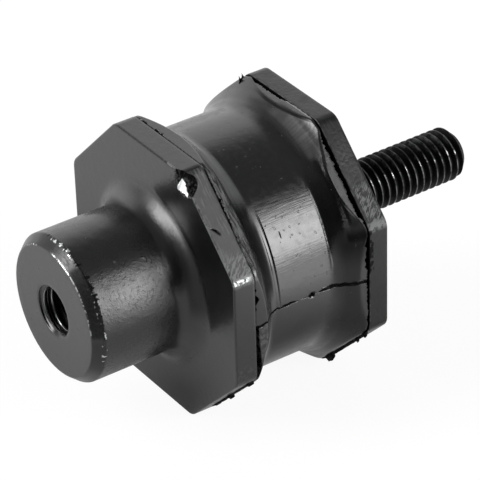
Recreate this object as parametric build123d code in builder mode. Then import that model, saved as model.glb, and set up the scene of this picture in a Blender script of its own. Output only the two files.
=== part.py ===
from build123d import *
import math
import os

# Radiator mount: a rubber block bonded between two octagonal steel plates.
# The front plate carries a round boss with a tapped hole, the rear plate a threaded stud.
# All sizes are in millimetres. The mount lies on one flat of its octagon, with its axis along X.
# Distances named "_at" are measured along the axis from the end face of the boss.

# Thread of the stud and of the tapped hole: half inch, 13 turns to the inch, coarse
thread_pitch = 25.4 / 13
stud_crest_diameter = 12.6
tap_hole_diameter = 10.8

# Octagon shared by both plates and by the moulded rims of the rubber
across_flats = 63.0
corner_radius = 3.5

# Threaded hub: boss and front plate in one forging
boss_diameter = 34.4
boss_length = 25.7
boss_chamfer_length = 2.3
boss_chamfer_depth = 1.9
boss_root_fillet = 5.3
front_plate_thickness = 5.4
front_plate_edge_radius = 0.4
front_plate_back_edge_radius = 0.25
hole_mouth_diameter = 12.0
hole_mouth_depth = 0.9
tapped_depth = 23.0
drill_point_angle = 118.0

# Flake broken off beside the upper front corner of the front plate, on the side of -Y
chip_radius = 5.0
chip_depth = 2.2
chip_angle = 63.0

# Rubber block
rubber_length = 30.0
waist_diameter = 57.0
front_shoulder_length = 7.9
rear_shoulder_length = 7.0
front_shoulder_hollow = 0.25
rear_shoulder_hollow = 0.45
rim_gap = 0.7
bond_diameter = 56.0
rubber_inset = 0.05

# Witness groove left by the mould beside the front shoulder
groove_width = 0.6
groove_depth = 0.35

# Lower half of the mould leaves a wedge open behind the front plate
wedge_width = 2.2
wedge_depth = 2.3

# Stud plate and stud
rear_plate_thickness = 4.9
rear_plate_edge_radius = 0.25
stud_length = 42.6
stud_chamfer = 1.8
stud_thread_depth = 1.1
stud_crest_width = 0.28
stud_shank_diameter = 13.2
shank_clearance = 0.05

# Places along the axis
front_plate_at = boss_length
rubber_at = front_plate_at + front_plate_thickness
waist_starts_at = rubber_at + front_shoulder_length
rear_plate_at = rubber_at + rubber_length
rear_rim_at = rear_plate_at - rim_gap
waist_ends_at = rear_rim_at - rear_shoulder_length
stud_at = rear_plate_at + rear_plate_thickness
overall_length = stud_at + stud_length

# Radii and the frame of the mount
boss_radius = boss_diameter / 2
bore_radius = tap_hole_diameter / 2
stud_radius = stud_crest_diameter / 2
waist_radius = waist_diameter / 2
apothem = across_flats / 2
sharp_corner_radius = apothem / math.cos(math.pi / 8)
corner_reach = sharp_corner_radius - corner_radius * (1 / math.cos(math.pi / 8) - 1)
axis_height = apothem
mount_axis = Axis((0, 0, axis_height), (1, 0, 0))
end_face = (-overall_length / 2, 0, axis_height)
section = Plane(origin=end_face, x_dir=(1, 0, 0), z_dir=(0, -1, 0))
mould_plane = Plane(origin=end_face, x_dir=(1, 0, 0), z_dir=(0, 0, -1))
across = Plane(origin=end_face, x_dir=(0, 1, 0), z_dir=(1, 0, 0))


def octagon_prism(at, length, inset=0.0):
    """Octagon with rounded corners, flat side down, from a place on the axis towards the stud."""
    with BuildPart(mode=Mode.PRIVATE) as prism:
        with BuildSketch(across.offset(at)):
            RegularPolygon(apothem - inset, 8, major_radius=False, rotation=22.5)
        extrude(amount=length)
        fillet(prism.edges().filter_by(Axis.X), corner_radius)
    return prism.part


def plate(at, thickness, front_edge_radius, back_edge_radius):
    """Octagonal plate with the edges of its front and back faces eased."""
    with BuildPart(mode=Mode.PRIVATE) as blank:
        add(octagon_prism(at, thickness))
        front_face, back_face = blank.faces().filter_by(Axis.X).sort_by(Axis.X)
        back_rim = back_face.edges()
        fillet(front_face.edges(), front_edge_radius)
        fillet(back_rim, back_edge_radius)
    return blank.part


# Threaded hub
with BuildPart() as threaded_hub:
    add(
        plate(
            front_plate_at,
            front_plate_thickness,
            front_plate_edge_radius,
            front_plate_back_edge_radius,
        )
    )
    with BuildSketch(section):
        with BuildLine():
            boss_root = (front_plate_at - boss_root_fillet, boss_radius)
            fillet_foot = (front_plate_at, boss_radius + boss_root_fillet)
            plate_middle = front_plate_at + front_plate_thickness / 2
            Polyline(
                (0, 0),
                (0, boss_radius - boss_chamfer_depth),
                (boss_chamfer_length, boss_radius),
                boss_root,
            )
            TangentArc(boss_root, fillet_foot, tangent=(1, 0))
            Polyline(fillet_foot, (plate_middle, fillet_foot[1]), (plate_middle, 0), (0, 0))
        make_face()
    revolve(axis=mount_axis)

    # Tapped hole with its countersunk mouth and the cone left by the drill
    drill_point_length = bore_radius / math.tan(math.radians(drill_point_angle / 2))
    with BuildSketch(section):
        with BuildLine():
            Polyline(
                (0, 0),
                (0, hole_mouth_diameter / 2),
                (hole_mouth_depth, bore_radius),
                (tapped_depth, bore_radius),
                (tapped_depth + drill_point_length, 0),
                (0, 0),
            )
        make_face()
    revolve(axis=mount_axis, mode=Mode.SUBTRACT)

    # Chipped corner
    chip_reach = corner_reach + chip_radius - chip_depth
    chip_y = -chip_reach * math.cos(math.radians(chip_angle))
    chip_z = chip_reach * math.sin(math.radians(chip_angle))
    with Locations(across.offset(front_plate_at).from_local_coords((chip_y, chip_z, 0))):
        Sphere(chip_radius, mode=Mode.SUBTRACT)

# Rubber block: a turned form with hollow shoulders, cut by the octagon
with BuildPart() as rubber_block:
    add(octagon_prism(rubber_at, rubber_length, rubber_inset))
    with BuildSketch(section):
        with BuildLine():
            front_edge = (rubber_at, corner_reach)
            waist_start = (waist_starts_at, waist_radius)
            waist_end = (waist_ends_at, waist_radius)
            rear_edge = (rear_rim_at, corner_reach)
            Polyline((rubber_at, 0), front_edge)
            SagittaArc(front_edge, waist_start, -front_shoulder_hollow)
            Line(waist_start, waist_end)
            SagittaArc(waist_end, rear_edge, -rear_shoulder_hollow)
            Polyline(
                rear_edge,
                (rear_rim_at, bond_diameter / 2),
                (rear_plate_at, bond_diameter / 2),
                (rear_plate_at, 0),
                (rubber_at, 0),
            )
        make_face()
    revolve(axis=mount_axis, mode=Mode.INTERSECT)

    # Witness groove
    with BuildSketch(section):
        with BuildLine():
            Polyline(
                (waist_starts_at, waist_radius),
                (waist_starts_at + groove_width / 2, waist_radius - groove_depth),
                (waist_starts_at + groove_width, waist_radius),
                (waist_starts_at + groove_width / 2, waist_radius + groove_depth),
                (waist_starts_at, waist_radius),
            )
        make_face()
    revolve(axis=mount_axis, mode=Mode.SUBTRACT)

    # Open wedge behind the front plate, round the half below the mould line
    with BuildSketch(mould_plane):
        with BuildLine():
            Polyline(
                (rubber_at, apothem - wedge_depth),
                (rubber_at + wedge_width, apothem),
                (rubber_at + wedge_width, sharp_corner_radius),
                (rubber_at, sharp_corner_radius),
                (rubber_at, apothem - wedge_depth),
            )
        make_face()
    revolve(axis=mount_axis, revolution_arc=180, mode=Mode.SUBTRACT)

# Stud plate with the hole for the stud's shank
with BuildPart() as stud_plate:
    add(
        plate(
            rear_plate_at,
            rear_plate_thickness,
            rear_plate_edge_radius,
            rear_plate_edge_radius,
        )
    )
    with BuildSketch(across.offset(rear_plate_at)):
        Circle(stud_shank_diameter / 2 + shank_clearance)
    extrude(amount=rear_plate_thickness, mode=Mode.SUBTRACT)

# Stud: a plain shank in the plate, then the threaded length to its chamfered tip
with BuildPart() as stud:
    with BuildSketch(across.offset(rear_plate_at)):
        Circle(stud_shank_diameter / 2)
    extrude(amount=rear_plate_thickness)
    with BuildSketch(across.offset(stud_at)):
        Circle(stud_radius)
    extrude(amount=stud_length)
    chamfer(stud.faces().sort_by(Axis.X)[-1].edges(), stud_chamfer)

    # Turns of the thread as rings, with flanks at 60 degrees to each other
    flank_width = stud_thread_depth * math.tan(math.radians(30))
    groove_half_width = (thread_pitch - stud_crest_width) / 2
    turn_count = int((stud_length - stud_chamfer) / thread_pitch)
    with BuildSketch(section):
        for turn in range(turn_count):
            groove_at = stud_at + thread_pitch * (turn + 0.5)
            with BuildLine():
                Polyline(
                    (groove_at - groove_half_width - flank_width, stud_radius + stud_thread_depth),
                    (groove_at - groove_half_width + flank_width, stud_radius - stud_thread_depth),
                    (groove_at + groove_half_width - flank_width, stud_radius - stud_thread_depth),
                    (groove_at + groove_half_width + flank_width, stud_radius + stud_thread_depth),
                    close=True,
                )
            make_face()
    revolve(axis=mount_axis, mode=Mode.SUBTRACT)

threaded_hub.part.label = "threaded_hub"
rubber_block.part.label = "rubber_block"
stud_plate.part.label = "stud_plate"
stud.part.label = "stud"

os.makedirs("parts", exist_ok=True)
export_step(threaded_hub.part, "parts/threaded_hub.step")
export_step(rubber_block.part, "parts/rubber_block.step")
export_step(stud_plate.part, "parts/stud_plate.step")
export_step(stud.part, "parts/stud.step")
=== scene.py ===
import math
from functools import partialmethod

import bmesh
import bpy
import numpy as np
from mathutils import Matrix, Vector


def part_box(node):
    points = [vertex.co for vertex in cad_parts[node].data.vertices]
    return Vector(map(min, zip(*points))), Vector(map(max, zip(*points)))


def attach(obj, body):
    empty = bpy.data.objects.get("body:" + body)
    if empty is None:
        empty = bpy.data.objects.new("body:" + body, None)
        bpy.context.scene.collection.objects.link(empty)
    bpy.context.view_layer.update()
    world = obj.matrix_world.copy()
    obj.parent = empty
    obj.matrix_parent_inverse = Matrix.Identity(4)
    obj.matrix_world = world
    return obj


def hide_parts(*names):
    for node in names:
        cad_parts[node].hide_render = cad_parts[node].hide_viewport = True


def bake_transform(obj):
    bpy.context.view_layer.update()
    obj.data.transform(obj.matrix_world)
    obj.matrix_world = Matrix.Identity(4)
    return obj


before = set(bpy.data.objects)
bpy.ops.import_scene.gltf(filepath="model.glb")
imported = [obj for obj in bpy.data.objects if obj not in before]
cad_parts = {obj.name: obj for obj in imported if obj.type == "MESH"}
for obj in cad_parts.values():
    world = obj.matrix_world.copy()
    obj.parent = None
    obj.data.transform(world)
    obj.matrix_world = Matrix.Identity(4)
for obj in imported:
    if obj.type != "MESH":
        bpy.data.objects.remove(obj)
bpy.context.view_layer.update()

# Radiator mount: its skins, their finishes, the studio and the camera.
# Lengths are in millimetres until a mesh is made. "t" runs along the mount from the boss's end
# face, "r" is the distance from the axis, and "a" is the angle round it, from straight up
# towards the camera's side (-Y). The octagon's flats face a = 0, 45, 90 and so on.
MM = 0.001
DEG = math.pi / 180

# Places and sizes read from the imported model
hub_low, hub_high = (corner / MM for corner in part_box("threaded_hub"))
rubber_low, rubber_high = (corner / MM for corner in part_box("rubber_block"))
plate_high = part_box("stud_plate")[1] / MM
stud_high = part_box("stud")[1] / MM
FACE_X = hub_low.x
AXIS_Z = (hub_low.z + hub_high.z) / 2
APOTHEM = (hub_high.z - hub_low.z) / 2
HUB_BACK = hub_high.x - FACE_X
RUBBER_BACK = rubber_high.x - FACE_X
RUBBER_APOTHEM = (rubber_high.y - rubber_low.y) / 2
PLATE_BACK = plate_high.x - FACE_X
STUD_TIP = stud_high.x - FACE_X

# Octagon. Its corners C and D bound the flat that faces up towards the camera, in degrees.
CORNER_RADIUS = 3.5
FLAT = 45 * DEG
CORNER_C = 22.5
CORNER_D = 67.5

# Hub: the boss and the front plate
BOSS_RADIUS = 17.2
CHAMFER_LENGTH = 2.3
CHAMFER_DEPTH = 1.9
FACE_RADIUS = BOSS_RADIUS - CHAMFER_DEPTH
ROOT_FILLET = 5.3
PLATE_THICKNESS = 5.4
PLATE_FRONT = HUB_BACK - PLATE_THICKNESS
FACE_STARTS = 24.0
HUB_EDGE = 0.4
HUB_BACK_EDGE = 0.25

# Threads: 13 turns to the inch. The hole's mouth, crests and roots, and the stud's, are radii.
PITCH = 25.4 / 13
HOLE_MOUTH = 5.97
HOLE_MOUTH_DEPTH = 0.9
HOLE_CREST = 5.4
HOLE_ROOT = 6.3
HOLE_THREAD_START = 0.75
HOLE_SEEN_DEPTH = 9.0
HOLE_DEPTH = 23.0
DRILL_POINT = 3.24
STUD_CREST = 6.3
STUD_ROOT = 5.2
STUD_CHAMFER = 1.8
STUD_THREAD_START = 0.34

# Rubber: places of the bends of its outline, as (t, r). The rear shoulder has two outlines:
# folded over on the camera's side, and smooth elsewhere.
WAIST_RADIUS = 28.5
CREVICE_AT = 39.4
WAIST_MIDDLE = 45.0
WAIST_END = 53.5
FRONT_OUTLINE = [(HUB_BACK, 34.7), (36.95, WAIST_RADIUS), (CREVICE_AT, WAIST_RADIUS)]
FRONT_FILLETS = [3.6]
REAR_FOLD = [(52.6, WAIST_RADIUS), (53.6, WAIST_RADIUS), (57.3, 30.5), (57.6, 31.2)]
REAR_FOLD += [(58.1, 31.9), (59.8, 33.0), (60.4, 33.8)]
REAR_FOLD_FILLETS = [1.4, 0.2, 0.3, 1.5, 0.5]
REAR_SMOOTH = [(51.0, WAIST_RADIUS), (53.6, WAIST_RADIUS), (56.3, 29.85), (58.2, 31.4)]
REAR_SMOOTH += [(60.4, 33.4)]
REAR_SMOOTH_FILLETS = [6.0, 2.5, 8.0]
BOND_RADIUS = 28.0
HALF_FLAT = 13.2

# The skins' hidden faces start at this radius
INNER_RADIUS = 25.0

# Line where the two halves of the mould met, in degrees, and the hole torn in it
MOULD_LINE = 89.6
MOULD_HOLE_AT = 47.9

STUD_PLATE_EDGE = 0.25

# Points round each skin
HUB_COLUMNS = 720
HOLE_COLUMNS = 144
RUBBER_COLUMNS = 860
PLATE_COLUMNS = 720
STUD_COLUMNS = 120


def spread_angles(count, weights):
    """Angles right round, closer together where weights (from, to, weight in degrees) say so."""
    fine = np.arange(-180, 180, 0.02)
    weight = np.full(len(fine), 1.0)
    for start, end, value in weights:
        weight[(fine >= start) & (fine < end)] = value
    share = np.concatenate([[0], np.cumsum(weight)])
    places = np.interp(np.arange(count) / count * share[-1], share, np.append(fine, 180.0))
    return places * DEG


hub_angles = spread_angles(HUB_COLUMNS, [(-30, 12, 2), (12, 42, 5), (42, 75, 3), (75, 150, 2)])
rubber_angles = spread_angles(
    RUBBER_COLUMNS, [(-30, 150, 2), (15, 30, 3), (60, 75, 3), (87.3, 92, 9)]
)
plate_angles = spread_angles(PLATE_COLUMNS, [(-30, 150, 2)])


# Forms

def octagon(angles, apothem, corner_radius=CORNER_RADIUS):
    """Distance from the axis to an octagon with round corners, at each angle."""
    half = FLAT / 2
    off = (angles + half) % FLAT - half
    half_width = (apothem - corner_radius) * math.tan(half)
    corner_centre = (apothem - corner_radius) / math.cos(half)
    from_corner = half - np.abs(off)
    inside = np.maximum(corner_radius**2 - (corner_centre * np.sin(from_corner)) ** 2, 0)
    arc = corner_centre * np.cos(from_corner) + np.sqrt(inside)
    on_flat = np.abs(off) <= math.atan2(half_width, apothem)
    return np.where(on_flat, apothem / np.cos(off), arc)


def filleted(corners, radii, steps=8):
    """Points along straight runs between corners, with an arc of the given radius at each bend."""
    corners = [np.array(corner, float) for corner in corners]
    points = [corners[0]]
    for before, corner, after, radius in zip(corners, corners[1:], corners[2:], radii):
        back = (before - corner) / np.linalg.norm(before - corner)
        ahead = (after - corner) / np.linalg.norm(after - corner)
        half = math.acos(np.clip(back @ ahead, -1, 1)) / 2
        reach = radius / math.tan(half)
        middle = (back + ahead) / np.linalg.norm(back + ahead)
        centre = corner + middle * radius / math.sin(half)
        first, last = corner + back * reach - centre, corner + ahead * reach - centre
        turn = math.pi - 2 * half
        for share in np.linspace(0, 1, steps + 1):
            swing = math.sin((1 - share) * turn) * first + math.sin(share * turn) * last
            points.append(centre + swing / math.sin(turn))
    points.append(corners[-1])
    return points


def ragged(angles, seed, knots, amount):
    """Uneven edge: random heights joined by straight runs, the same on each run of the script."""
    heights = np.random.default_rng(seed).uniform(-1, 1, knots)
    places = np.linspace(0, 2 * math.pi, knots + 1)
    return amount * np.interp(angles % (2 * math.pi), places, np.append(heights, heights[0]))


def uneven(along, seed, step, amount):
    """Random heights joined by straight runs, along a line in millimetres."""
    heights = np.random.default_rng(seed).uniform(-1, 1, 400)
    return amount * np.interp(np.asarray(along) / step % 399, np.arange(400), heights)


def soft_least(a, b, width):
    """The lesser of two, with a rounded crease between them."""
    share = np.clip(0.5 + 0.5 * (b - a) / width, 0, 1)
    return b * (1 - share) + a * share - width * share * (1 - share)


def ramp(value, low, high):
    """0 below low, 1 above high, with a smooth step between."""
    share = np.clip((value - low) / (high - low), 0, 1)
    return share * share * (3 - 2 * share)


def window(value, low, high, soft):
    """1 between low and high, with soft sides."""
    return ramp(value, low - soft, low + soft) * (1 - ramp(value, high - soft, high + soft))


def along_flat(angles, middle):
    """Millimetres along the flat that faces the angle, from its middle towards higher angles."""
    return RUBBER_APOTHEM * np.tan(np.clip(angles - middle * DEG, -1.2, 1.2))


def place(t, r, a):
    """Points in millimetres in the row frame."""
    t, r, a = np.broadcast_arrays(t, r, a)
    return np.stack([FACE_X + t, -r * np.sin(a), AXIS_Z + r * np.cos(a)], axis=-1)


def from_axis(points):
    """The same points as t, across towards the camera, and up from the axis."""
    return points[:, 0] - FACE_X, -points[:, 1], points[:, 2] - AXIS_Z


def thread_height(t, a, start, crest, root):
    """Radius of a right-handed 60 degree thread. In a hole the root is wider than the crest."""
    inward = root > crest
    phase = ((t - start) / PITCH - a / (2 * math.pi)) % 1.0
    from_crest = np.abs(phase - 0.5) * PITCH
    crest_half = PITCH / 8 if inward else PITCH / 14
    depth = np.clip((from_crest - crest_half) * math.tan(60 * DEG), 0, abs(crest - root))
    return crest + depth if inward else crest - depth


# Meshes

def new_object(name, data):
    thing = bpy.data.objects.new(name, data)
    bpy.context.scene.collection.objects.link(thing)
    return thing


class Skin:
    """A closed mesh: rings of points one after another, and at each end a point or a face."""

    def __init__(self, rings, start=None, end=None):
        self.points = []
        self.faces = []
        self.count = 0
        rings = [self.add_ring(ring) for ring in rings]
        for one, two in zip(rings, rings[1:]):
            self.join(one, two)
        for ring, point in ((rings[0], start), (rings[-1], end)):
            if point is None:
                self.faces.append(ring.tolist())
            else:
                tip = self.add_ring([point]).tolist()
                sides = zip(ring.tolist(), np.roll(ring, -1).tolist())
                self.faces += [[*side, *tip] for side in sides]

    def add_ring(self, ring):
        self.points.append(np.array(ring))
        first = self.count
        self.count += len(self.points[-1])
        return np.arange(first, self.count)

    def join(self, one, two):
        """Faces between two rings. One may have a whole multiple of the other's points."""
        if len(one) == len(two):
            nxt_one, nxt_two = np.roll(one, -1), np.roll(two, -1)
            self.faces += np.stack([one, nxt_one, nxt_two, two], axis=1).tolist()
            return
        few, many = (one, two) if len(one) < len(two) else (two, one)
        ratio = len(many) // len(few)
        sides = zip(few.tolist(), np.roll(few, -1).tolist())
        for i, side in enumerate(sides):
            fine = [int(many[(i * ratio + k) % len(many)]) for k in range(ratio, -1, -1)]
            self.faces.append([*side, *fine])

    def make(self, name, body, slot, replaces=None, bare_and_shade=None):
        points = np.concatenate(self.points)
        mesh = bpy.data.meshes.new(name)
        mesh.from_pydata((points * MM).tolist(), [], self.faces)
        bm = bmesh.new()
        bm.from_mesh(mesh)
        bmesh.ops.recalc_face_normals(bm, faces=bm.faces)
        bm.to_mesh(mesh)
        bm.free()
        mesh.polygons.foreach_set("use_smooth", [True] * len(mesh.polygons))
        # Places in the row frame, for the finishes: t, across towards the camera, and up
        rest = points * [1, -1, 1] - [FACE_X, 0, AXIS_Z]
        kept = mesh.attributes.new("rest", "FLOAT_VECTOR", "POINT")
        kept.data.foreach_set("vector", rest.astype(np.float32).ravel())
        if bare_and_shade is not None:
            kept = mesh.attributes.new("bare_and_shade", "FLOAT", "POINT")
            kept.data.foreach_set("value", bare_and_shade(points).astype(np.float32))
        piece = new_object(name, mesh)
        if body:
            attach(piece, body)
        if replaces:
            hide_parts(replaces)
        return piece


def eased_plate_rows(front, back, edges, inner_r, angles, face_steps, side_steps):
    """Rings of an octagonal plate: front face from inner_r, front edge, flats and back edge."""
    front_edge, back_edge = edges

    def ring(at, inset):
        return place(at, octagon(angles, APOTHEM - inset, CORNER_RADIUS - inset), angles)

    rim = octagon(angles, APOTHEM - front_edge, CORNER_RADIUS - front_edge)
    rows = [place(front, inner_r + (rim - inner_r) * s, angles) for s in face_steps]
    for turn in np.linspace(0, math.pi / 2, 6)[1:]:
        at = front + front_edge * (1 - math.cos(turn))
        rows.append(ring(at, front_edge * (1 - math.sin(turn))))
    for s in side_steps:
        rows.append(ring(front + front_edge + (back - back_edge - front - front_edge) * s, 0))
    for turn in np.linspace(0, math.pi / 2, 4)[1:]:
        at = back - back_edge * (1 - math.sin(turn))
        rows.append(ring(at, back_edge * (1 - math.cos(turn))))
    return rows


# Threaded hub

# Flake broken off the front plate: two facets, each by a point (t, r), a slope from facing -X
# towards facing outwards, the degrees of its middle, and how fast its depth falls to the sides
CHIP_FACETS = [((25.7, 29.5), 20, 25.5, 0.075), ((28.2, 33.2), 54, 27.5, 0.17)]
CHIP_FROM_T = 25
CHIP_TO_T = 31
CHIP_FROM_RADIUS = 26

# Curved cut in the flat between the corners C and D: its ends as (t, place along the flat)
SLIT_ENDS = [(26.5, 0.0), (27.8, 2.1)]
SLIT_HALF_WIDTH = 0.24
SLIT_BOW = 0.3
SLIT_DEPTH = 0.7


def chip_depth(t, across, up, facet):
    """Distance of points in front of a facet, and from the axis towards its middle."""
    (at, radius), slope, middle, fall = facet
    outwards = across * math.sin(middle * DEG) + up * math.cos(middle * DEG)
    sideways = across * math.cos(middle * DEG) - up * math.sin(middle * DEG)
    depth = (outwards - radius) * math.sin(slope * DEG) - (t - at) * math.cos(slope * DEG)
    return depth - fall * sideways**2, outwards


def chipped(points):
    """Points of the front plate, pushed in to the facets of the broken corner."""
    t, across, up = from_axis(points)
    rough = 0.06 * np.sin(5 * across + 3 * t) + 0.05 * np.sin(7 * up - 4 * t)
    for _ in range(3):
        for facet in CHIP_FACETS:
            depth, outwards = chip_depth(t, across, up, facet)
            close = (t > CHIP_FROM_T) & (t < CHIP_TO_T) & (outwards > CHIP_FROM_RADIUS)
            push = np.where(close, np.maximum(depth + rough, 0), 0)
            slope, middle = facet[1] * DEG, facet[2] * DEG
            t += push * math.cos(slope)
            across -= push * math.sin(slope) * math.sin(middle)
            up -= push * math.sin(slope) * math.cos(middle)
    return np.stack([t + FACE_X, -across, up + AXIS_Z], axis=1)


def slit_depth(t, across, up):
    """Depth of the curved cut in the front plate, as a share of its deepest."""
    u = (across - up) / math.sqrt(2)
    outwards = (across + up) / math.sqrt(2)
    (t0, u0), (t1, u1) = SLIT_ENDS
    length = math.hypot(t1 - t0, u1 - u0)
    run = ((t - t0) * (t1 - t0) + (u - u0) * (u1 - u0)) / length
    off = ((t - t0) * (u1 - u0) - (u - u0) * (t1 - t0)) / length - SLIT_BOW * np.sin(run)
    half_width = SLIT_HALF_WIDTH * np.clip(1 - ((run - length / 2) / (length / 2)) ** 2, 0, 1)
    return np.clip(1 - np.abs(off) / np.maximum(half_width, 1e-3), 0, 1) * (outwards > 30)


def slit(points):
    """Points of the front plate, pushed in along the curved cut."""
    deep = SLIT_DEPTH * slit_depth(*from_axis(points))
    return points - np.stack([0 * deep, -deep, deep], axis=1) / math.sqrt(2)


def hub_bare_and_shade(points):
    """1 on the bright bare facet of the broken corner, -1 where shade is painted: in its hollow and
    in the slit.
    """
    t, across, up = from_axis(points)
    first, outwards = chip_depth(t, across, up, CHIP_FACETS[0])
    second, _ = chip_depth(t, across, up, CHIP_FACETS[1])
    degrees = np.arctan2(across, up) / DEG
    radius = np.hypot(across, up)
    inner_border = 29.2 + 0.2 * (degrees - CORNER_C)
    outer_border = 32.1 - 0.2 * (degrees - 23)
    bright = ramp(first, -0.22, -0.1) * (t > 25.5) * (t < 26.5) * (degrees > 22.4)
    bright *= (radius > inner_border) * (radius < outer_border)
    hollow_shade = ramp(np.maximum(first, second), -0.3, -0.1) * (outwards > 28) * (t > 25.8)
    cut = ramp(SLIT_DEPTH * slit_depth(t, across, up), 0.02, 0.15)
    return np.where(bright > 0.3, bright, -np.maximum(hollow_shade, cut))


def hole_rows(angles):
    """Rings from the tapped hole's bottom to its mouth, and on to the end face."""
    rows = []
    deep = np.arange(HOLE_DEPTH, HOLE_SEEN_DEPTH, -PITCH / 6)
    seen = np.arange(HOLE_SEEN_DEPTH, HOLE_MOUTH_DEPTH - 0.6, -PITCH / 16)
    for t in np.concatenate([deep, seen]):
        turns = thread_height(t, angles, HOLE_THREAD_START, HOLE_CREST, HOLE_ROOT)
        mouth = HOLE_MOUTH - (HOLE_MOUTH - HOLE_CREST) * t / HOLE_MOUTH_DEPTH
        rows.append(place(t, np.maximum(turns, mouth), angles))
    for t in (0.15, 0.05):
        rows.append(place(t, HOLE_MOUTH + 0.1 - 0.6 * t, angles))
    for r in (HOLE_MOUTH + 0.15, 7.0, 8.5):
        rows.append(place(0, r, angles))
    return rows


def boss_rows(angles):
    """Rings of the boss: its end face, battered chamfer, side and root fillet."""
    outline = [(0, r) for r in np.linspace(9.0, FACE_RADIUS - 0.35, 5)]
    outline += [(0.02, FACE_RADIUS - 0.12), (0.12, FACE_RADIUS + 0.03)]
    for t in np.linspace(0, CHAMFER_LENGTH, 8)[1:-1]:
        outline.append((t, FACE_RADIUS + CHAMFER_DEPTH * t / CHAMFER_LENGTH))
    rows = [place(t, r, angles) for t, r in outline]
    battered = window(angles / DEG, -14, 112, 4)
    dents = 0.25 * battered * np.maximum(ragged(angles, 11, 260, 1.0) - 0.3, 0)
    for ahead, inset in ((-0.12, 0.12), (0.12, 0.02)):
        at = CHAMFER_LENGTH + ahead + dents
        rows.append(place(at, BOSS_RADIUS - inset - dents, angles))
    outline = [(t, BOSS_RADIUS) for t in (2.6, 2.75, 2.95, 3.3, *np.linspace(4.0, 16.0, 7))]
    root = [(16.5, BOSS_RADIUS), (PLATE_FRONT, BOSS_RADIUS)]
    root.append((PLATE_FRONT, FACE_STARTS))
    outline += filleted(root, [ROOT_FILLET], 20)
    return rows + [place(t, r, angles) for t, r in outline]


def make_hub():
    edges = (HUB_EDGE, HUB_BACK_EDGE)
    face_steps = np.concatenate([[0.25, 0.45], np.linspace(0.55, 1, 12)])
    side_steps = np.concatenate([np.linspace(0.04, 0.5, 12), np.linspace(0.5, 1, 6)[1:]])
    outside = boss_rows(hub_angles)
    outside += eased_plate_rows(
        PLATE_FRONT, HUB_BACK, edges, FACE_STARTS, hub_angles, face_steps, side_steps
    )
    rows = hole_rows(hub_angles[:: HUB_COLUMNS // HOLE_COLUMNS])
    rows += [slit(chipped(row)) for row in outside]
    rows.append(place(HUB_BACK, INNER_RADIUS, hub_angles))
    skin = Skin(rows, place(HOLE_DEPTH + DRILL_POINT, 0, 0), place(HUB_BACK, 0, 0))
    return skin.make("hub_forging", "boss_side", "black_paint_hub", "threaded_hub", hub_bare_and_shade)


# Rubber block

def parting_gap(angles):
    """Width of the open joint between the front plate and the rubber."""
    degrees = angles / DEG
    top, side, face = (along_flat(angles, middle) for middle in (0, 45, 90))
    # Fine line along the top flat, wider in two places
    gap = 0.1 * window(degrees, -21, 19, 1) * (0.6 + ragged(angles, 21, 500, 0.6))
    gap += 0.55 * window(top, -5.4, -1.9, 0.3) * (0.7 + ragged(angles, 22, 700, 0.5))
    gap += 0.25 * window(top, -10.8, -8.3, 0.5)
    # Torn line along the flat between the corners C and D
    gap += window(side, -11.5, 9.0, 0.8) * np.maximum(ragged(angles, 23, 420, 0.4) - 0.1, 0)
    torn = window(side, -8.5, 1.5, 1.0) * (0.2 + ragged(angles, 24, 800, 0.25))
    gap += np.maximum(torn, 0) + 0.12 * window(side, -11.5, 4.0, 0.8)
    # Three nicks above the mould line, and the open wedge below it
    for middle, width, half in ((-9.6, 0.4, 0.4), (-7.1, 1.0, 1.35), (-4.8, 0.35, 0.4)):
        gap += width * np.clip(1 - np.abs(face - middle) / half, 0, 1)
    open_wedge = ramp(degrees, MOULD_LINE - 0.5, MOULD_LINE + 0.1)
    return np.maximum(gap, 0) + open_wedge * (0.75 + 0.6 * ramp(degrees, 92, 112))


def rim_gap(angles):
    """Width of the ragged gap between the rubber's rim and the stud plate."""
    top, side, face = (along_flat(angles, middle) for middle in (0, 45, 90))
    gap = 0.3 + 0.25 * ramp(angles / DEG, 112, 128)
    on_top, on_side, on_face = (np.abs(u) < HALF_FLAT for u in (top, side, face))
    gap = np.where(on_top, 0.15 + 1.0 * (1 - ramp(top, -3, 5)), gap)
    gap = np.where(on_side, 0.62 + 0.4 * window(side, -12.5, 10, 1.5), gap)
    gap = np.where(on_face, 0.6 + 0.35 * window(face, -11.4, -3.0, 0.25), gap)
    rough = ragged(angles, 5, 240, 0.14) + ragged(angles, 6, 90, 0.12)
    rough += ragged(angles, 7, 900, 0.26)
    return np.maximum(gap + rough * np.clip(gap / 0.45, 0.15, 1), 0.03)


def mould_crack(t, degrees, radius):
    """Depth of the crack along the mould line, with the hole torn in it."""
    along = np.arange(0, 80, 0.05)
    width = np.interp(t, along, 0.1 + 0.25 * np.abs(uneven(along, 31, 0.7, 1)))
    width *= (1 - 0.7 * window(t, 42.5, 47.2, 0.4)) * (1 - window(t, 48.4, 50, 0.2))
    width += 0.08 * (t < 44) + 0.3 * window(t, 50.5, 60, 0.5)
    width += 0.7 * np.exp(-(((t - MOULD_HOLE_AT) / 0.4) ** 2))
    off = np.abs(degrees - MOULD_LINE - uneven(t, 32, 0.9, 0.55)) * DEG * radius
    return 0.8 * np.clip(1 - (off / np.maximum(width, 0.01)) ** 2, 0, 1) * (width > 0.05)


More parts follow.
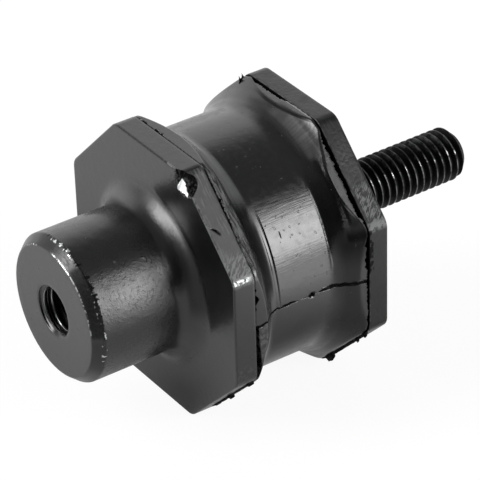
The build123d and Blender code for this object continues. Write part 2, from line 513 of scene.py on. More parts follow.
def rubber_rows(angles):
    """Rings of the rubber from one plate to the other."""
    degrees = angles / DEG
    edge = octagon(angles, RUBBER_APOTHEM)
    front = np.array(filleted(FRONT_OUTLINE, FRONT_FILLETS))
    fold = np.array(filleted(REAR_FOLD, REAR_FOLD_FILLETS))
    smooth = np.array(filleted(REAR_SMOOTH, REAR_SMOOTH_FILLETS))
    folded = ramp(degrees, 32, 44) * (1 - ramp(degrees, 68, 80))
    early = 0.6 * window(degrees, 30, 60, 8)
    crevice = window(degrees, 52, 84, 9)

    def rear(value, given, wanted):
        """Looks up the rear outline: 0 stands for t and 1 for r."""
        on_fold = np.interp(value, fold[:, given], fold[:, wanted])
        on_smooth = np.interp(value, smooth[:, given], smooth[:, wanted])
        return on_fold * folded + on_smooth * (1 - folded)

    def form(t):
        """Distance from the axis to the rubber's side."""
        t = np.broadcast_to(t, angles.shape)
        in_front = np.interp(t + early, front[:, 0], front[:, 1])
        shoulder = np.where(t < WAIST_MIDDLE, in_front, rear(t, 0, 1))
        # Moulded strip and crevice between the front shoulder and the waist
        strip = 0.04 * crevice * window(t, 38.6, CREVICE_AT - 0.1, 0.15)
        cut = 0.3 * crevice * np.clip(1 - np.abs(t - CREVICE_AT) / 0.14, 0, 1)
        # Raised line at the waist's rear end
        ledge = 0.06 * window(degrees, 42, 80, 3) * np.exp(-(((t - WAIST_END) / 0.18) ** 2))
        shoulder += strip - cut + ledge
        softness = 0.22 + 0.45 * (t > 50) * ramp(degrees, 69, 79)
        radius = soft_least(shoulder, edge, softness)
        # Crease where the rear shoulder meets the upper flats
        crease = window(degrees, -9, 17, 3) + window(degrees, 29, 62, 3)
        meeting = np.clip(1 - np.abs(shoulder - edge) / 0.18, 0, 1) * (t > 50)
        radius -= 0.12 * crease * meeting
        return radius - mould_crack(t, degrees, radius)

    rows = [place(HUB_BACK, INNER_RADIUS, angles)]

    def add_row(t, inset=0.0):
        rows.append(place(t, form(t) - inset, angles))

    def add_run(begin, end, steps):
        """Rows at even steps from one place to another, the first left out."""
        for share in np.linspace(0, 1, steps + 1)[1:]:
            add_row(begin + (end - begin) * share)

    start = HUB_BACK + parting_gap(angles)
    add_row(start, 0.15 + 2.5 * np.clip((start - HUB_BACK) / 0.08, 0, 1))
    for ahead, inset in ((0, 0.15), (0.06, 0.03), (0.2, 0), (0.3, 0)):
        add_row(start + ahead, inset)
    # A lens ends where the octagon's flat meets the round shoulder
    front_lens = np.interp(edge, front[::-1, 1], front[::-1, 0]) - early
    before_lens = np.maximum(front_lens - 0.35, start + 0.35)
    behind_lens = np.maximum(front_lens + 0.4, before_lens + 0.3)
    add_run(start + 0.3, before_lens, 5)
    add_run(before_lens, behind_lens, 6)
    add_run(behind_lens, 38.4, 13)
    by_crevice = (38.5, 38.6, 38.75, 39.0, 39.15, 39.24, 39.32, 39.4, 39.48, 39.58, 39.75)
    by_ledge = (53.0, 53.2, 53.35, 53.5, 53.65, 53.8, 54.0)
    for t in (*by_crevice, *np.linspace(40.1, 52.8, 30), *by_ledge):
        add_row(t)
    rear_lens = rear(edge, 1, 0)
    add_run(by_ledge[-1], rear_lens - 0.35, 14)
    add_run(rear_lens - 0.35, rear_lens + 0.25, 6)
    rim = np.maximum(RUBBER_BACK - rim_gap(angles), rear_lens + 0.35)
    add_run(rear_lens + 0.25, rim - 0.05, 5)
    add_row(rim, 0.1)
    add_row(rim, 0.8)
    rows.append(place(RUBBER_BACK - 0.75, BOND_RADIUS + 0.3, angles))
    rows.append(place(RUBBER_BACK, BOND_RADIUS, angles))
    return rows


def make_rubber():
    skin = Skin(rubber_rows(rubber_angles), place(HUB_BACK, 0, 0), place(RUBBER_BACK, 0, 0))
    piece = skin.make("rubber_body", None, "black_rubber", "rubber_block")
    tuple(place(HUB_BACK, 0, 0) * MM)
    tuple(place(RUBBER_BACK, 0, 0) * MM)
    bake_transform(piece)
    return piece


FLASH_DEGREES = 135
FLASH_SUNK = 0.15


def make_flash(name, body, at, depth, base, seed):
    """Torn rubber flash that hangs from the lower flat on the camera's side of a plate."""
    u = np.linspace(-11.6, 11.0, 120)
    hang = base + np.maximum(uneven(u, seed, 1.3, 1.9) - 0.9, 0)
    hang += np.abs(uneven(u, seed + 1, 0.4, 0.35))
    hang *= np.clip((12 - np.abs(u + 0.3)) / 2.5, 0.1, 1)
    turn = FLASH_DEGREES * DEG
    outwards = np.array([0, -math.sin(turn), math.cos(turn)])
    tangent = np.array([0, -math.cos(turn), -math.sin(turn)])
    middle = np.array([0, 0, AXIS_Z]) + tangent * u[:, None]
    wave = uneven(u, seed + 2, 1.7, 0.25)[:, None] * [1, 0, 0]

    def line(x, height):
        return middle + [FACE_X + x, 0, 0] + wave + outwards * np.asarray(height)[:, None]

    deep = np.full(len(u), APOTHEM - FLASH_SUNK)
    outline = [line(at - depth, deep), line(at - depth * 0.6, APOTHEM - 0.05 + hang)]
    outline += [line(at, APOTHEM - 0.05 + hang * 0.8), line(at, deep)]
    return Skin(zip(*outline)).make(name, body, "black_rubber")


SHRED_DEGREES = -25.0
SHRED_ENDS = (59.0, 60.8)
SHRED_FOOT = (32.2, 33.2)
SHRED_TIPS = (0.1, 0.5, 1.5, 0.6, 0.5, 0.7, 1.3, 0.5, 0.1)
SHRED_HALF_TURN = 0.006
SHRED_TOP = 34.6


def make_shred():
    """Sliver of torn rubber that stands up from the rear shoulder at its top corner."""
    along = np.linspace(*SHRED_ENDS, len(SHRED_TIPS))
    foot = np.interp(along, SHRED_ENDS, SHRED_FOOT)
    tips = np.minimum(foot + SHRED_TIPS, SHRED_TOP)
    middle = SHRED_DEGREES * DEG
    sides = [place(along, foot, middle - SHRED_HALF_TURN), place(along, tips, middle)]
    sides.append(place(along, foot, middle + SHRED_HALF_TURN))
    return Skin(zip(*sides)).make("shred_rear", "stud_side", "black_rubber")


# Stud plate and stud

def make_stud_plate():
    angles = plate_angles
    inner_r = 20.0
    face_steps, side_steps = np.linspace(0, 1, 5)[1:], np.linspace(0, 1, 9)[1:]
    edges = (STUD_PLATE_EDGE, STUD_PLATE_EDGE)
    rows = [place(RUBBER_BACK, inner_r, angles)]
    rows += eased_plate_rows(RUBBER_BACK, PLATE_BACK, edges, inner_r, angles, face_steps, side_steps)
    rows += [place(PLATE_BACK, r, angles) for r in (12.0, 7.0)]
    skin = Skin(rows, place(RUBBER_BACK, 0, 0), place(PLATE_BACK, 0, 0))
    return skin.make("stud_plate_skin", "stud_side", "black_paint_plate", "stud_plate")


def make_stud():
    angles = np.arange(STUD_COLUMNS) * (2 * math.pi / STUD_COLUMNS)
    hidden_end = PLATE_BACK - 1
    rows = [place(hidden_end, STUD_CREST, angles)]
    for t in np.arange(PLATE_BACK, STUD_TIP, PITCH / 16):
        turns = thread_height(t, angles, STUD_THREAD_START, STUD_CREST, STUD_ROOT)
        chamfer = STUD_CREST - STUD_CHAMFER + (STUD_TIP - t)
        rows.append(place(t, np.minimum(turns, chamfer), angles))
    rows.append(place(STUD_TIP, STUD_CREST - STUD_CHAMFER, angles))
    skin = Skin(rows, place(hidden_end, 0, 0), place(STUD_TIP, 0, 0))
    return skin.make("stud_threaded", "stud_side", "black_stud", "stud")


# Node trees

def new_node(tree, kind):
    return tree.nodes.new("ShaderNode" + kind)


class Signal:
    """A number in a node tree, with arithmetic."""

    def __init__(self, tree, socket):
        self.tree = tree
        self.socket = socket

    def math(self, operation, *others):
        node = new_node(self.tree, "Math")
        node.operation = operation
        for entry, value in zip(node.inputs, (self, *others)):
            if isinstance(value, Signal):
                self.tree.links.new(value.socket, entry)
            else:
                entry.default_value = value
        return Signal(self.tree, node.outputs[0])

    __add__ = __radd__ = partialmethod(math, "ADD")
    __sub__ = partialmethod(math, "SUBTRACT")
    __rsub__ = partialmethod(math, "MULTIPLY_ADD", -1)
    __mul__ = __rmul__ = partialmethod(math, "MULTIPLY")
    __truediv__ = partialmethod(math, "DIVIDE")
    least = partialmethod(math, "MINIMUM")
    most = partialmethod(math, "MAXIMUM")
    size = partialmethod(math, "ABSOLUTE")

    def rise(self, low, high):
        """0 below low, 1 above high."""
        node = new_node(self.tree, "MapRange")
        node.interpolation_type = "SMOOTHSTEP"
        self.tree.links.new(self.socket, node.inputs["Value"])
        node.inputs["From Min"].default_value = low
        node.inputs["From Max"].default_value = high
        return Signal(self.tree, node.outputs["Result"])

    def fall(self, low, high):
        """1 below low, 0 above high."""
        return 1 - self.rise(low, high)

    def within(self, low, high, soft):
        """1 between low and high, with soft sides."""
        return self.rise(low - soft, low + soft) * self.fall(high - soft, high + soft)


def split(tree, vector):
    """The three numbers of a vector socket."""
    node = new_node(tree, "SeparateXYZ")
    tree.links.new(vector, node.inputs[0])
    return [Signal(tree, socket) for socket in node.outputs]


def attribute(tree, name):
    node = new_node(tree, "Attribute")
    node.attribute_name = name
    return node


# Studio: a world with a bright wall behind, a dark side behind the camera, a large softbox to the
# right and a small lamp to the left. Directions are azimuths from +X towards +Y and heights above
# the horizon.

def direction(azimuth, height):
    level = math.cos(height * DEG)
    return Vector(
        (math.cos(azimuth * DEG) * level, math.sin(azimuth * DEG) * level, math.sin(height * DEG))
    )


def panel(tree, ray, azimuth, height, half_width, half_height, edge):
    """1 where a ray meets a rectangular lamp, with soft borders; half sizes are tangents."""
    centre = direction(azimuth, height)
    across = Vector((0, 0, 1)).cross(centre).normalized()
    up = centre.cross(across)

    def along(axis):
        node = new_node(tree, "VectorMath")
        node.operation = "DOT_PRODUCT"
        tree.links.new(ray, node.inputs[0])
        node.inputs[1].default_value = axis
        return Signal(tree, node.outputs["Value"])

    ahead = along(centre)
    depth = ahead.most(0.02)
    side = (along(across) / depth).size()
    rise = (along(up) / depth).size()
    inside = side.fall(half_width - edge, half_width + edge)
    inside *= rise.fall(half_height - edge, half_height + edge)
    return inside * ahead.rise(0.02, 0.1)


def towards(x, y, azimuth):
    """How far a place or a ray goes towards an azimuth."""
    ahead = direction(azimuth, 0)
    return x * ahead.x + y * ahead.y


WALL_LEVEL = 1.1
WALL_AZIMUTH = 65
DARK_LEVEL = 0.09
DARK_AZIMUTH = -140
SKY_LEVEL = 0.16
SOFTBOX = (-58.5, 20, 0.21, 0.62, 0.05)
SOFTBOX_LEVEL = 9.0
SIDE_LIGHT = (157, 24, 0.21, 0.50, 0.17)
SIDE_LIGHT_LEVEL = 10.0


def make_world():
    world = bpy.data.worlds.new("studio")
    bpy.context.scene.world = world
    world.use_nodes = True
    tree = world.node_tree
    background = tree.nodes["Background"]
    ray = new_node(tree, "TexCoord").outputs["Generated"]
    x, y, z = split(tree, ray)
    wall = towards(x, y, WALL_AZIMUTH).rise(0.25, 0.8) * z.fall(0.5, 0.85) * WALL_LEVEL
    behind = towards(x, y, DARK_AZIMUTH).rise(0.3, 0.85)
    level = (z.rise(0.3, 0.8) * SKY_LEVEL + DARK_LEVEL) * (1 - behind * 0.8) + wall
    softbox = panel(tree, ray, *SOFTBOX) * z.fall(0.35, 0.85) * z.rise(-0.2, 0.3)
    side_light = panel(tree, ray, *SIDE_LIGHT)
    level += softbox * SOFTBOX_LEVEL + side_light * SIDE_LIGHT_LEVEL
    # The camera itself sees plain white
    seen = Signal(tree, new_node(tree, "LightPath").outputs["Is Camera Ray"])
    level = seen.most(level * (1 - seen))
    tree.links.new(level.socket, background.inputs["Strength"])
    background.inputs["Color"].default_value = (1, 1, 1, 1)


FLOOR_SIZE = 3.0
FLOOR_COLOUR = 0.75
FLOOR_WHITE = 1.05
FLOOR_SHADOW_SHARE = 0.12
FLOOR_GLOW = 2.1
FLOOR_GLOW_AZIMUTH = -61
FLOOR_REAR_GLOW = 0.24
FLOOR_REAR_AZIMUTH = 150
FLOOR_UNDER_GLOW = 0.25


def floor_glow(tree):
    """Brightness in reflections: towards the softbox, behind, and under the mount (metres)."""
    x, y, _ = split(tree, new_node(tree, "TexCoord").outputs["Object"])
    ahead = towards(x, y, FLOOR_GLOW_AZIMUTH)
    across = towards(x, y, FLOOR_GLOW_AZIMUTH + 90).size()
    fan = ahead.rise(0.02, 0.16) * (across / ahead.most(0.02)).fall(0.1, 0.6)
    rear = towards(x, y, FLOOR_REAR_AZIMUTH).rise(0.05, 0.1)
    under = y.within(-0.024, 0.02, 0.01) * x.rise(-0.034, -0.022)
    return fan * FLOOR_GLOW + rear * FLOOR_REAR_GLOW + under * FLOOR_UNDER_GLOW


def make_floor():
    mesh = bpy.data.meshes.new("floor")
    sides = ((-1, -1), (1, -1), (1, 1), (-1, 1))
    corners = [(FLOOR_SIZE * x, FLOOR_SIZE * y, 0) for x, y in sides]
    mesh.from_pydata(corners, [], [(0, 1, 2, 3)])
    floor = new_object("floor", mesh)
    material = bpy.data.materials.new("floor_paper")
    material.use_nodes = True
    tree = material.node_tree
    link = tree.links.new
    tree.nodes.remove(tree.nodes["Principled BSDF"])
    paper = new_node(tree, "BsdfDiffuse")
    paper.inputs["Color"].default_value = (FLOOR_COLOUR, FLOOR_COLOUR, FLOOR_COLOUR, 1)
    white = new_node(tree, "Emission")
    white.inputs["Strength"].default_value = FLOOR_WHITE

    # The camera sees white with a share of the paper, for its shadow. Only other rays see the glow.
    seen = Signal(tree, new_node(tree, "LightPath").outputs["Is Camera Ray"])
    glow = new_node(tree, "Emission")
    link((floor_glow(tree) * (1 - seen)).socket, glow.inputs["Strength"])
    glowing = new_node(tree, "AddShader")
    link(paper.outputs[0], glowing.inputs[0])
    link(glow.outputs[0], glowing.inputs[1])
    surface = new_node(tree, "MixShader")
    link((seen * (1 - FLOOR_SHADOW_SHARE)).socket, surface.inputs["Fac"])
    link(glowing.outputs[0], surface.inputs[1])
    link(white.outputs[0], surface.inputs[2])
    link(surface.outputs[0], tree.nodes["Material Output"].inputs["Surface"])
    mesh.materials.append(material)


# Finishes

TINT = (0.97, 1.0, 1.0)


def blended(one, two, share):
    return (1 - share) * one + share * two


class Finish:
    """A black finish, with marks by place: t along the axis, r from it, degrees round it."""

    def __init__(self, name, tone, roughness, ior):
        self.material = bpy.data.materials.new(name)
        self.material.use_nodes = True
        self.tree = self.material.node_tree
        self.shader = self.tree.nodes["Principled BSDF"]
        self.shader.inputs["IOR"].default_value = ior
        self.place = attribute(self.tree, "rest").outputs["Vector"]
        self.t, self.across, self.up = split(self.tree, self.place)
        self.r = (self.across * self.across + self.up * self.up).math("SQRT")
        self.degrees = self.across.math("ARCTAN2", self.up) * (180 / math.pi)
        # Along the flats between the corners C and D, and D and E, towards the lower one
        self.along_side = (self.across - self.up) * math.sqrt(0.5)
        self.along_face = self.up * -1
        self.tone = self.cloud(0.35, 2) * tone + tone * 0.5
        self.metal = self.t * 0
        self.roughness = self.cloud(0.5, 3) * 0.08 + (roughness - 0.04)
        self.height = self.cloud(0.6, 2) * 0.03

    def cloud(self, scale, detail, stretch=None):
        """Uneven clouds from 0 to 1; scale is in spots to the millimetre."""
        node = new_node(self.tree, "TexNoise")
        node.inputs["Scale"].default_value = scale
        node.inputs["Detail"].default_value = detail
        vector = self.place
        if stretch:
            joined = new_node(self.tree, "CombineXYZ")
            for part, entry in zip(stretch, joined.inputs):
                self.tree.links.new(part.socket, entry)
            vector = joined.outputs[0]
        self.tree.links.new(vector, node.inputs["Vector"])
        return Signal(self.tree, node.outputs[0])

    def crossed(self, detail, fine, coarse):
        """Clouds drawn out into scratches that run askew across the side's flat."""
        stretch = ((self.t + self.along_side) * fine, (self.t - self.along_side) * coarse)
        return self.cloud(1.0, detail, stretch)

    def area(self, along, round_it):
        """1 on a stretch of t and of the degrees, each given as low, high and softness."""
        return self.t.within(*along) * self.degrees.within(*round_it)

    def spot(self, t, degrees, half_t, half_degrees):
        """1 in an oval spot."""
        along = (self.t - t) / half_t
        round_it = (self.degrees - degrees) / half_degrees
        return (along * along + round_it * round_it).fall(0.5, 1.2)

    def bare(self, share, tone=0.45, roughness=0.32):
        """Metal that shows through the paint."""
        self.tone = blended(self.tone, tone, share)
        self.metal = self.metal.most(share)
        self.roughness = blended(self.roughness, roughness, share)
        self.height = self.height - share * 0.03

    def scuff(self, share, tone=0.09):
        """Paint scratched light and dull."""
        self.tone = blended(self.tone, tone, share)
        self.roughness = blended(self.roughness, 0.5, share)

    def dark(self, share):
        """Paints a place nearly black: painted shade in hollows, gaps and on parts turned from the
        light, and dark marks such as chipped spots and rubber left on an edge.
        """
        self.tone = blended(self.tone, 0.006, share)
        self.metal = self.metal.most(share)
        self.roughness = blended(self.roughness, 0.6, share)

    def done(self):
        link = self.tree.links.new
        shader = self.shader.inputs
        colour = new_node(self.tree, "CombineColor")
        for entry, tint in zip(colour.inputs, TINT):
            link((self.tone * tint).socket, entry)
        bump = new_node(self.tree, "Bump")
        bump.inputs["Distance"].default_value = MM
        link(self.height.socket, bump.inputs["Height"])
        link(colour.outputs[0], shader["Base Color"])
        link(self.metal.socket, shader["Metallic"])
        link(self.roughness.socket, shader["Roughness"])
        link(bump.outputs[0], shader["Normal"])
        return self.material


# Raised grains on the boss, painted lighter as glints: (t, degrees, size)
BOSS_GRAINS_AND_GLINTS = [(16.7, 41.7, 1.6), (10.1, 35.7, 0.9), (7.8, 8.4, 0.4)]


def cast_boss(paint):
    """Pitted casting skin of the boss and its root, coarsest where it takes the light, with painted
    highlights on the root and its grains and painted shade in the root fillet.
    """
    boss = paint.t.within(2.6, 18.5, 1.0)
    lit = boss * paint.degrees.within(34, 86, 10)
    paint.roughness += boss * 0.01 + lit * paint.cloud(0.5, 5) * 0.06
    pits = paint.cloud(1.3, 5).rise(0.5, 0.75)
    paint.height += pits * lit * 0.03 + paint.cloud(3.2, 3) * lit * 0.04
    # Lighter spot low on the root fillet: painted highlight
    paint.scuff(paint.spot(22.3, 139, 2.4, 7) * 0.7, 0.06)
    root = paint.t.within(19.5, 25.6, 1.0)
    paint.roughness += root * paint.cloud(0.4, 4) * 0.08
    paint.height += root * paint.cloud(1.6, 4) * (paint.degrees.fall(50, 80) * 0.025 + 0.008)
    grain = paint.area((21.5, 25.3, 0.8), (6, 42, 5))
    paint.height += grain * paint.cloud(3.5, 3) * 0.02
    waves = paint.cloud(0.22, 1) * paint.t.within(4, 15, 3)
    paint.height += waves * 0.14
    for t, degrees, size in BOSS_GRAINS_AND_GLINTS:
        raised_glint = paint.spot(t, degrees, 0.16 * size + 0.1, 1.4 * size)
        paint.height += raised_glint * 0.25
        # Lighter paint on each grain: painted glint
        paint.scuff(raised_glint * 0.5)
    # Painted shade in the root fillet, below the light
    shade = paint.area((23.2, 25.6, 0.6), (46, 92, 8))
    paint.dark(shade * 0.45)
    plate_face = paint.t.within(PLATE_FRONT - 0.2, PLATE_FRONT + 0.1, 0.1)
    paint.roughness -= plate_face * 0.08


def worn_and_shaded_chamfer(paint):
    """Paint knocked off the chamfer's edges, scratched light along its top, and painted shade on the
    chamfer.
    """
    between = paint.degrees.within
    chamfer = paint.r.rise(FACE_RADIUS - 0.1, FACE_RADIUS + 0.05)
    chamfer *= paint.t.fall(CHAMFER_LENGTH, CHAMFER_LENGTH + 0.2)
    round_it = paint.degrees * 0.3
    streaks = paint.cloud(1.0, 3, (paint.t * 3.0, round_it * 0.7))
    top = chamfer * between(2, 25, 3)
    paint.scuff(top * streaks.rise(0.45, 0.6) * 0.8, 0.02)
    # Painted shade on the whole chamfer, more from -20 to 3 degrees
    paint.dark(chamfer * (between(-20, 3, 5) * 0.25 + 0.12))

    # Outer edge: bare patches, dark patches between them, and dark scallops past it, painted as the
    # shade of dents
    outer = paint.t.within(1.75, 2.65, 0.15) * paint.r.rise(15.3, 15.5)
    patches = paint.cloud(1.0, 5)
    paint.bare(outer * between(-7, 21, 2) * patches.rise(0.53, 0.56), 0.85)
    paint.bare(outer * between(48, 110, 3) * patches.rise(0.61, 0.63), 0.85)
    knocked = outer * between(38, 88, 3)
    paint.dark(knocked * patches.rise(0.44, 0.48) * patches.fall(0.55, 0.57) * 0.7)
    flakes = paint.cloud(1.7, 4)
    # Uneven painted shade on the chamfer from 28 to 86 degrees
    paint.dark(chamfer * between(28, 86, 3) * (flakes * 0.5 + 0.45))
    dent_pattern = paint.cloud(1.0, 3, (paint.t * 0.3, round_it)).rise(0.48, 0.6)
    dent_shade = paint.t.rise(2.1, 2.2) * (paint.t - dent_pattern * 0.9).fall(2.3, 2.45)
    # Dark scallops past the outer edge: painted shade of dents
    paint.dark(dent_shade * between(20, 62, 3) * 0.9)
    # Painted shade on the chamfer from 86 to 122 degrees
    paint.dark(chamfer * between(86, 122, 6) * 0.3)

    # Inner edge, towards the end face
    inner = paint.t.fall(0.16, 0.24) * paint.r.within(15.12, 15.5, 0.05)
    chips = between(5, 52, 4)
    chips += between(52, 84, 3) * flakes.rise(0.5, 0.56)
    chips += between(-38, -19, 4) * flakes.rise(0.56, 0.6) * 0.8
    chips *= paint.degrees.fall(22, 34) * 0.75 + 0.25
    paint.bare(inner * chips.least(1.0) * flakes.rise(0.36, 0.5), 0.8)


def worn_and_shaded_hole(paint):
    """Turns with worn crests near the mouth, and painted shade deeper in."""
    inside = paint.r.fall(6.6, 6.9)
    crests = inside * paint.t.rise(0.05, 0.2) * paint.t.within(HOLE_MOUTH_DEPTH, 4.0, 0.3)
    crests *= paint.r.fall(HOLE_CREST + 0.06, HOLE_CREST + 0.14)
    paint.bare(crests, 0.5, 0.3)
    # Painted shade deeper in the hole
    paint.dark(inside * paint.t.rise(2.4, 3.6) * (1 - crests) * 0.9)


def scratched_flanks(paint):
    """Long fine scratches on the front plate's flats, worn edges and a scraped corner."""
    between = paint.degrees.within
    flank = paint.t.rise(PLATE_FRONT + 0.03, PLATE_FRONT + 0.1)
    side = flank * between(CORNER_C, CORNER_D, 0.3)
    scratches = paint.cloud(1.0, 4, (paint.t * 2.4, paint.along_side * 0.22))
    paint.scuff(side * 0.4, 0.035)
    paint.scuff(side * scratches.rise(0.52, 0.6) * paint.cloud(0.3, 2).rise(0.4, 0.55), 0.075)
    paint.height += side * scratches * 0.035
    front_edge = flank * paint.t.fall(PLATE_FRONT + 0.4, PLATE_FRONT + 0.6)
    front_edge *= between(12, 68, 2)
    paint.scuff(front_edge * paint.cloud(0.9, 4).rise(0.45, 0.55), 0.10)
    corner = flank * between(58.0, 68.2, 2.2)
    paint.scuff(corner * paint.crossed(5, 1.4, 0.35).rise(0.47, 0.56), 0.14)
    edge = flank * between(66.6, 68.2, 0.4) * paint.t.fall(29, 31)
    paint.bare(edge * paint.cloud(1.4, 5).rise(0.4, 0.48), 0.45, 0.35)
    lower = flank * paint.along_face.within(9.0, 13.5, 0.5) * between(80, 112, 1)
    paint.scuff(lower * paint.cloud(0.7, 4).rise(0.53, 0.6) * 0.4, 0.03)
    paint.height += lower * paint.cloud(0.7, 3) * 0.1


def broken_corner(paint):
    """Bright bare facet of the broken corner, and painted shade in the hollow behind it and in the
    slit.
    """
    bare_and_shade = Signal(paint.tree, attribute(paint.tree, "bare_and_shade").outputs["Fac"])
    fresh = (paint.cloud(0.9, 3) * 0.6 + 0.6).least(1.0)
    paint.bare(bare_and_shade.rise(0.3, 0.7) * fresh, 0.8, 0.45)
    hollow_shade = (bare_and_shade * -1).rise(0.3, 0.7)
    # Painted shade in the hollow and the slit
    paint.dark(hollow_shade * (paint.cloud(1.1, 4).rise(0.42, 0.5) * 0.3 + 0.7))
    paint.height += hollow_shade * paint.cloud(1.2, 4) * 0.8


def hub_paint():
    paint = Finish("black_paint_hub", 0.004, 0.26, 1.65)
    cast_boss(paint)
    worn_and_shaded_chamfer(paint)
    worn_and_shaded_hole(paint)
    scratched_flanks(paint)
    broken_corner(paint)
    on_plate = paint.t.rise(PLATE_FRONT - 0.1, PLATE_FRONT + 0.1)
    paint.height += on_plate * paint.cloud(2.5, 3) * 0.012
    return paint.done()


def rubber_waist(rubber, waist, streaks):
    """Fine streaks along the axis, strongest at the borders of the lit band, and small marks, with
    painted shade in the torn hole and the nick.
    """
    borders = rubber.degrees.within(44, 53, 2) + rubber.degrees.within(66, 82, 3) * 0.6
    rubber.height += waist * streaks * (borders * 0.05 + 0.008)
    rubber.roughness += waist * rubber.cloud(0.7, 4).rise(0.4, 0.7) * 0.1
    specks = rubber.cloud(1.3, 2, (rubber.t * 0.7, rubber.degrees * 0.25)).rise(0.67, 0.71)
    rubber.height -= waist * specks * 0.05
    hole = rubber.spot(MOULD_HOLE_AT, MOULD_LINE + 0.1, 1.0, 1.5)
    # Painted shade in the hole torn in the mould line
    rubber.dark(hole * rubber.cloud(0.9, 3).rise(0.4, 0.48))
    nick = rubber.spot(42.9, 57.8, 0.16, 1.6)
    rubber.height -= nick * 0.4
    # Painted shade in the nick
    rubber.dark(nick * 0.9)


def rubber_shoulders(rubber, streaks):
    """Painted highlight along the waist's rear end, and painted light and painted shade on the
    shoulders.
    """
    # Light line along the waist's rear end: painted highlight
    line = rubber.area((53.3, 53.55, 0.08), (45, 70, 3))
    rubber.scuff(line * rubber.cloud(0.8, 3).rise(0.35, 0.5) * 0.7, 0.25)
    # Painted shade at the rear shoulder's top
    rear_hollow_shade = rubber.area((54.8, 57.3, 0.5), (-12, 30, 5))
    rubber.dark(rear_hollow_shade * 0.4)
    # Painted shade on the front shoulder
    front_shade = rubber.area((34.6, 38.2, 0.5), (47, 82, 6))
    rubber.dark(front_shade * 0.85)
    # Front shoulder from 10 to 38 degrees rougher, and lighter as painted light
    dull = rubber.area((34.2, 38.2, 0.5), (10, 38, 5))
    rubber.scuff(dull * 0.95, 0.075)
    # Painted shade low on the rear shoulder, at its lower corner and along the border of the top
    # flat
    lower_rear_shade = rubber.t.rise(53.6, 56.5) * rubber.degrees.within(66, 114, 7)
    rubber.dark(lower_rear_shade * (rubber.degrees.fall(72, 84) * 0.35 + 0.35))
    rear_corner_shade = rubber.t.rise(56.6, 57.6) * rubber.degrees.within(66, 72.5, 3)
    rubber.dark(rear_corner_shade * 0.9)
    top_border_shade = rubber.up.within(30.95, 31.36, 0.08) * rubber.across.within(-5, 11, 3)
    rubber.dark(top_border_shade * rubber.t.within(56, 60.3, 0.5) * 0.85)
    # Painted shade on the rear shoulder near the corner C, broken by streaks
    shoulder_patch_shade = rubber.area((55.6, 59.5, 0.6), (4, 33, 4))
    rubber.dark(shoulder_patch_shade * (0.72 - streaks * 0.35))


def rubber_bands(rubber):
    """Torn band beside the front plate, the rims by the stud plate, and a painted highlight on the
    rim's lip.
    """
    front_band = rubber.t.fall(32.6, 34.0) * rubber.degrees.within(24, 66, 2)
    layers = rubber.cloud(1.0, 4, (rubber.t * 2.2, rubber.along_side * 0.25))
    rubber.height += front_band * layers * 0.25
    rubber.scuff(front_band * layers.rise(0.42, 0.6), 0.075)
    rear_band = rubber.t.rise(58.2, 58.8)
    rubber.height += rear_band * rubber.cloud(0.8, 3) * 0.05
    rubber.roughness += rear_band * 0.08
    rubber.scuff(rear_band * rubber.degrees.within(38, 62, 4) * 0.6, 0.04)
    # Light line along the rim's lip near the corner C: painted highlight
    rim_highlight = rubber.t.rise(60.5, 60.65) * rubber.across.within(0, 11, 0.8) * rubber.up.rise(30, 31)
    rubber.scuff(rim_highlight, 0.25)
    lower = rubber.t.fall(33.8, 34.2) * rubber.along_face.within(-0.3, 12, 0.4)
    rubber.scuff(lower * rubber.cloud(0.6, 4).rise(0.45, 0.6) * rubber.across.rise(25, 28), 0.03)


def rubber_skin():
    rubber = Finish("black_rubber", 0.004, 0.15, 1.65)
    waist = rubber.t.within(39.6, 53.4, 0.2)
    streaks = rubber.cloud(1.0, 4, (rubber.t * 0.18, rubber.degrees * 1.3))
    rubber_waist(rubber, waist, streaks)
    rubber_shoulders(rubber, streaks)
    rubber_bands(rubber)
    dust = rubber.cloud(1.6, 3).rise(0.7, 0.73) * rubber.cloud(0.25, 2).rise(0.5, 0.6)
    rubber.scuff(dust * (1 - waist), 0.05)
    rubber.height += rubber.cloud(3.0, 2) * 0.004
    return rubber.done()


def torn_rubber():
    torn = Finish("torn_rubber", 0.0015, 0.6, 1.2)
    torn.height += torn.cloud(2.0, 4) * 0.3
    return torn.done()


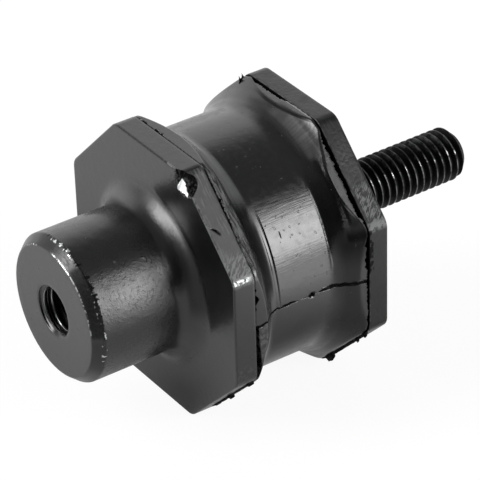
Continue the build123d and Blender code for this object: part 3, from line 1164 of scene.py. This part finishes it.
def plate_paint():
    paint = Finish("black_paint_plate", 0.004, 0.30, 1.5)
    paint.roughness += paint.cloud(0.3, 4).rise(0.4, 0.7) * 0.12
    paint.height += paint.cloud(1.2, 4) * 0.05

    # Flats: scratches along them, a scraped stretch, a worn corner, and painted shade on the flat
    # facing the camera and at the upper end of the side flat
    between = paint.degrees.within
    flank = paint.t.fall(PLATE_BACK - 0.12, PLATE_BACK - 0.03)
    side = flank * between(CORNER_C, CORNER_D, 0.3)
    scratches = paint.cloud(1.0, 4, (paint.t * 2.0, paint.along_side * 0.22))
    paint.scuff(side * scratches.rise(0.54, 0.62) * 0.6, 0.03)
    scraped = side * paint.along_side.within(3, 14, 2) * paint.t.within(61.8, 65.6, 0.3)
    crossed = paint.crossed(4, 2.0, 0.4)
    paint.scuff(scraped * crossed.rise(0.46, 0.54), 0.13)
    paint.height += scraped * crossed * 0.2
    corner = flank * between(65.5, 69.0, 0.7)
    paint.scuff(corner * paint.cloud(1.2, 4).rise(0.4, 0.5), 0.14)
    # Painted shade on the flat facing the camera and at the upper end of the side flat
    paint.dark(flank * between(68.0, 112, 0.6) * 0.42)
    paint.dark(side * paint.along_side.fall(-13, -3) * 0.4)
    dull = flank * between(21.0, 26.5, 1.2)
    paint.roughness = blended(paint.roughness, 0.5, dull * 0.6)

    # Worn rims, painted shade on the front face in the gap, and rubber left on its edge
    front_rim = paint.t.within(RUBBER_BACK + 0.04, RUBBER_BACK + 0.25, 0.03)
    rims = front_rim.most(paint.t.rise(PLATE_BACK - 0.25, PLATE_BACK - 0.05))
    paint.scuff(rims * paint.cloud(0.8, 3).rise(0.42, 0.58) * paint.r.rise(31, 31.3), 0.05)
    # Painted shade on the front face in the gap
    paint.dark(paint.t.fall(RUBBER_BACK + 0.015, RUBBER_BACK + 0.04) * 0.95)
    left = paint.t - paint.cloud(0.9, 4).rise(0.4, 0.65)
    left = left.fall(RUBBER_BACK + 0.15, RUBBER_BACK + 0.3) * paint.across.rise(29, 30)
    paint.dark(left * paint.along_face.within(-12.6, -1.5, 0.5) * 0.95)
    return paint.done()


def stud_finish():
    oxide = Finish("black_oxide_stud", 0.002, 0.36, 1.25)
    oxide.height += oxide.cloud(2.5, 3) * 0.04
    # Painted shade over the whole stud, more where the degrees are below 55
    oxide.dark(oxide.degrees.fall(55, 90) * 0.65 + 0.15)
    # Turns knocked flat near the tip, worn crests on the others, and painted glints on crests that
    # face the softbox
    knocked = oxide.area((82, 104, 4), (-40, 38, 8))
    crest = oxide.r.rise(6.2, 6.29) * oxide.t.rise(66.3, 66.8) * (1 - knocked * 0.85)
    blur = oxide.cloud(1.0, 4, (oxide.t * 0.9, oxide.degrees * 0.05))
    oxide.scuff(knocked * blur.rise(0.42, 0.6) * oxide.r.rise(5.4, 6.1), 0.05)
    worn = oxide.cloud(0.45, 4).rise(0.36, 0.62)
    oxide.bare(crest * (worn * 0.75 + 0.12), 0.2, 0.28)
    # Brighter bare crests from 47 to 60 degrees: painted highlight
    painted_glints = oxide.degrees.within(47, 60, 3) * oxide.cloud(0.6, 3).rise(0.45, 0.6)
    oxide.bare(crest * painted_glints, 0.7, 0.25)
    oxide.height += crest * oxide.cloud(1.2, 3) * 0.15
    tip = oxide.t.rise(STUD_TIP - 2.2, STUD_TIP - 1.7) * oxide.r.fall(6.0, 6.15)
    oxide.dark(tip * 0.7)
    return oxide.done()


# Camera, fitted to the photo: its place, its heading from +X towards +Y and its angle down
CAMERA_PLACE = (-318.8, -466.9, 397.6)
CAMERA_HEADING = 56.139
CAMERA_DOWN = 33.140
CAMERA_ROLL = -1.828
CAMERA_LENS = 226.78
CAMERA_SENSOR = 36.0


def make_camera():
    camera = bpy.data.cameras.new("camera")
    camera.lens = CAMERA_LENS
    camera.sensor_width = CAMERA_SENSOR
    camera.clip_start = 0.01
    camera.clip_end = 20
    holder = new_object("camera", camera)
    heading, down, roll = CAMERA_HEADING * DEG, CAMERA_DOWN * DEG, CAMERA_ROLL * DEG
    level = math.cos(down)
    ahead = Vector((math.cos(heading) * level, math.sin(heading) * level, -math.sin(down)))
    side = Vector((math.sin(heading), -math.cos(heading), 0))
    up = side.cross(ahead)
    right = side * math.cos(roll) + up * math.sin(roll)
    up = right.cross(ahead)
    turn = Matrix((right, up, -ahead)).transposed()
    holder.matrix_world = Matrix.Translation(Vector(CAMERA_PLACE) * MM) @ turn.to_4x4()
    bpy.context.scene.camera = holder


makers = (make_hub, make_rubber, make_stud_plate, make_stud)
finishes = (hub_paint, rubber_skin, plate_paint, stud_finish)
for make, finish in zip(makers, finishes):
    make().data.materials.append(finish())
front_flash = make_flash("flash_front", "boss_side", HUB_BACK, depth=2.0, base=0.15, seed=51)
rear_flash = make_flash("flash_rear", "stud_side", RUBBER_BACK + 0.2, depth=1.0, base=0.4, seed=61)
shred = make_shred()
torn = torn_rubber()
for piece in (front_flash, rear_flash, shred):
    piece.data.materials.append(torn)

make_floor()
make_world()
make_camera()
bpy.context.scene.view_settings.view_transform = "Standard"
